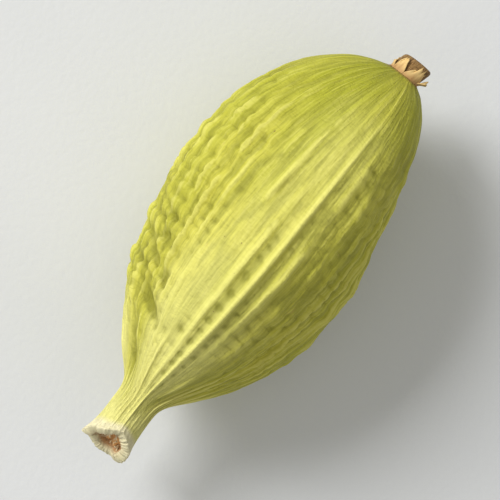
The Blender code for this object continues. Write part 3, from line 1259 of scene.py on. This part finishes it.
@dataclass
class StubFibres:
    """Short torn fibres of the stalk, in the hollow and at its edge."""

    form: PodForm
    seat: Vector
    count: int = 18
    sides: int = 8
    cuts: int = 4
    root: float = 0.045 * MM
    tip: float = 0.014 * MM
    start: float = 0.55 * MM
    off_place: Span = (-0.4, 0.4)
    at_radius: Span = (0.35, 0.98)
    over_rim: Span = (-0.25, 0.04)      # in mm
    thickness: Span = (0.7, 1.4)
    lean: Span = (-0.30, 0.12)
    swirl: Span = (-0.5, 0.5)
    least_turn_radius: float = 0.2 * MM
    seed: int = 5

    def build(self) -> Piece:
        """Builds all fibres as one piece.

        Returns:
            The fibres.
        """
        draw = random.Random(self.seed)
        bm, reach_layer = dry_mesh()
        for i in range(self.count):
            angle = TAU * (i + draw.uniform(*self.off_place)) / self.count
            radius = self.form.hollow * draw.uniform(*self.at_radius)
            reach = self.start + draw.uniform(*self.over_rim) * MM
            self.add_fibre(bm, draw, angle, radius, reach, reach_layer)
        bmesh.ops.recalc_face_normals(bm, faces=bm.faces)
        return make_piece("stub_fibres", bm, FIBRE.material())

    def add_fibre(
        self, bm: BMesh, draw: random.Random, angle: float, radius: float,
        reach: float, reach_layer: BMLayer,
    ) -> None:
        """Adds one bent, tapering fibre.

        Args:
            bm: The mesh that holds the fibres.
            draw: Source of what differs between fibres.
            angle: Where it stands round the axis.
            radius: Its distance from the axis.
            reach: How far it comes up from its root.
            reach_layer: Layer that takes the share along the fibre.
        """
        thick = draw.uniform(*self.thickness)
        verts_before, edges_before = len(bm.verts), len(bm.edges)
        bmesh.ops.create_cone(
            bm, cap_ends=True, cap_tris=False, segments=self.sides,
            radius1=self.root * thick, radius2=self.tip * thick, depth=1.0,
        )
        bm.edges.ensure_lookup_table()
        sides = [e for e in bm.edges[edges_before:]
                 if abs(e.verts[0].co.z - e.verts[1].co.z) > 0.5]
        bmesh.ops.subdivide_edges(bm, edges=sides, cuts=self.cuts, use_grid_fill=False)
        bm.verts.ensure_lookup_table()
        lean, swirl = draw.uniform(*self.lean), draw.uniform(*self.swirl)
        for vert in bm.verts[verts_before:]:
            share = vert.co.z + 0.5
            vert[reach_layer] = Vector((share, 0.0, 0.0))
            s = self.start - share * reach
            r = radius + vert.co.x + lean * reach * share ** 2
            sideways = vert.co.y + swirl * reach * share ** 2
            turned = angle + sideways / max(radius, self.least_turn_radius)
            vert.co = self.form.place(s, r, turned) + self.seat


@dataclass
class RemnantCrown:
    """Papery lobes of the dried flower, round the pod's far tip."""

    form: PodForm
    seat: Vector
    lobes: int = 6
    height: float = 0.74 * MM
    thickness: float = 0.035 * MM
    flare: float = 0.20 * MM
    off_place: Span = (-0.25, 0.25)
    widths: Span = (0.85, 1.25)
    heights: Span = (0.50, 1.0)
    curls: Span = (-0.7, 1.0)
    tear: float = 0.45
    fine_tear: float = 0.15
    narrowing: float = 0.55
    rounding: float = 0.35
    crumple: float = 0.05 * MM
    root: float = 0.08 * MM
    stand_off: float = 0.03 * MM
    cupping: float = 0.05 * MM
    seed: int = 12

    def build(self) -> Piece:
        """Builds the lobes as one piece.

        Returns:
            The crown.
        """
        draw = random.Random(self.seed)
        bm, reach_layer = dry_mesh()
        for i in range(self.lobes):
            angle = TAU * (i + draw.uniform(*self.off_place)) / self.lobes
            self.add_lobe(bm, draw, angle, reach_layer)
        return make_piece("flower_crown", bm, PAPERY.material())

    def add_lobe(
        self, bm: BMesh, draw: random.Random, angle: float,
        reach_layer: BMLayer,
    ) -> None:
        """Adds one torn, curled lobe.

        Args:
            bm: The mesh that holds the lobes.
            draw: Source of what differs between lobes.
            angle: Where its middle stands round the axis.
            reach_layer: Layer that takes the share of the way up the lobe.
        """
        form = self.form
        made = bmesh.ops.create_grid(bm, x_segments=14, y_segments=16, size=0.5)["verts"]
        width = draw.uniform(*self.widths) * TAU / self.lobes
        height = draw.uniform(*self.heights) * self.height
        curl, own = draw.uniform(*self.curls) * self.flare, draw.uniform(0.0, 50.0)
        for vert in made:
            across, up = 2.0 * vert.co.x, vert.co.y + 0.5
            torn = 1.0 + self.tear * noise.noise(Vector((2.2 * across, own, 0.0)))
            torn += self.fine_tear * noise.noise(Vector((7.0 * across, own, 3.0)))
            taper = 1.0 - self.narrowing * up ** 1.5
            crumple = self.crumple * noise.noise(Vector((1.6 * across, 1.8 * up, own)))
            at = angle + 0.5 * width * across * taper
            vert[reach_layer] = Vector((up, 0.0, 0.0))
            s = form.body_end - self.root
            s += up * height * torn * (1.0 - self.rounding * across ** 2)
            r = form.cornered(form.length, form.remnant, at) + self.stand_off
            r += curl * up ** 2 + crumple * up + self.cupping * up * across ** 2
            vert.co = form.place(s, r, at) + self.seat
        faces = list(dict.fromkeys(face for vert in made for face in vert.link_faces))
        bmesh.ops.recalc_face_normals(bm, faces=faces)
        bmesh.ops.solidify(bm, geom=faces, thickness=self.thickness)


# Floor, lamps and camera


@dataclass(frozen=True)
class SoftLamp:
    """A square lamp: its direction in the camera's picture, and its sizes."""

    right: float
    up: float
    towards: float
    size: float
    power: float
    distance: float = 0.60


class Lamp(Enum):
    """The soft lamps, by what they do."""

    KEY = SoftLamp(right=-0.52, up=0.54, towards=0.78, size=0.24, power=3.42)
    FILL = SoftLamp(right=0.9, up=-0.5, towards=0.9, size=0.40, power=0.048)


@dataclass
class Studio:
    """Pale floor, soft lamps, pale surroundings, and the camera."""

    target: Vector = Vector((0.0, 0.0, 3.6 * MM))
    lean: float = 11.0 * DEG
    turn: float = 50.0 * DEG
    lens: float = 250.0
    distance: float = 0.128
    floor_radius: float = 0.5
    floor_sides: int = 96
    floor_gap: float = 0.02 * MM
    surroundings: Colour = (1.0, 0.985, 0.93, 1.0)
    surroundings_strength: float = 0.42

    def axes(self) -> tuple[Vector, Vector, Vector]:
        """Right, up and towards the viewer, in the camera's picture.

        Returns:
            Three unit vectors.
        """
        towards = Vector((0.0, math.sin(self.lean), math.cos(self.lean)))
        level = Vector((1.0, 0.0, 0.0))
        upright = towards.cross(level)
        right = level * math.cos(self.turn) - upright * math.sin(self.turn)
        up = level * math.sin(self.turn) + upright * math.cos(self.turn)
        return right, up, towards

    def camera(self) -> None:
        """Sets the camera over the pod, with the stub at the lower left."""
        right, up, towards = self.axes()
        data = bpy.data.cameras.new("camera")
        data.lens = self.lens
        data.clip_start = 1.0 * MM
        camera = bpy.data.objects.new("camera", data)
        bpy.context.scene.collection.objects.link(camera)
        place = Matrix((right, up, towards)).transposed().to_4x4()
        place.translation = self.target + towards * self.distance
        camera.matrix_world = place
        bpy.context.scene.camera = camera

    def light(self, role: Lamp) -> None:
        """Adds one soft lamp that faces the pod.

        Args:
            role: What the lamp does.
        """
        right, up, towards = self.axes()
        soft, name = role.value, role.name.lower()
        way = soft.right * right + soft.up * up + soft.towards * towards
        data = bpy.data.lights.new(name, "AREA")
        data.energy = soft.power
        data.size = soft.size
        lamp = bpy.data.objects.new(name, data)
        lamp.location = self.target + way.normalized() * soft.distance
        lamp.rotation_euler = way.to_track_quat("Z", "Y").to_euler()
        bpy.context.scene.collection.objects.link(lamp)

    def floor(self) -> None:
        """Lays the pale floor just under the pod."""
        bm = bmesh.new()
        bmesh.ops.create_circle(
            bm, cap_ends=True, cap_tris=False, segments=self.floor_sides, radius=self.floor_radius)
        bmesh.ops.translate(bm, verts=bm.verts, vec=(0.0, 0.0, -self.floor_gap))
        floor = make_object("floor", bm, FloorFinish().material())

    def world(self) -> None:
        """Gives the scene even, pale surroundings."""
        world = bpy.data.worlds.new("surroundings")
        world.use_nodes = True
        background = world.node_tree.nodes["Background"]
        background.inputs["Color"].default_value = self.surroundings
        background.inputs["Strength"].default_value = self.surroundings_strength
        bpy.context.scene.world = world

    def build(self) -> None:
        """Sets up everything round the pod."""
        self.camera()
        self.floor()
        self.world()
        for role in Lamp:
            self.light(role)
        bpy.context.scene.view_settings.view_transform = "Standard"


def main() -> None:
    """Builds the studio, the husk and the pieces at its two ends."""
    logging.basicConfig(level=logging.INFO, format="%(name)s: %(message)s")
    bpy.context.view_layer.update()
    Studio().build()
    form = PodForm()
    husk = Husk(form, Relief(form))
    pieces = [husk.build()]
    for part in (StubPith, StubFibres, RemnantCrown):
        pieces.append(part(form, husk.seat).build())
    for piece in pieces:
        log.info("%s: %d faces", piece.name, len(piece.data.polygons))


if __name__ == "__main__":
    main()
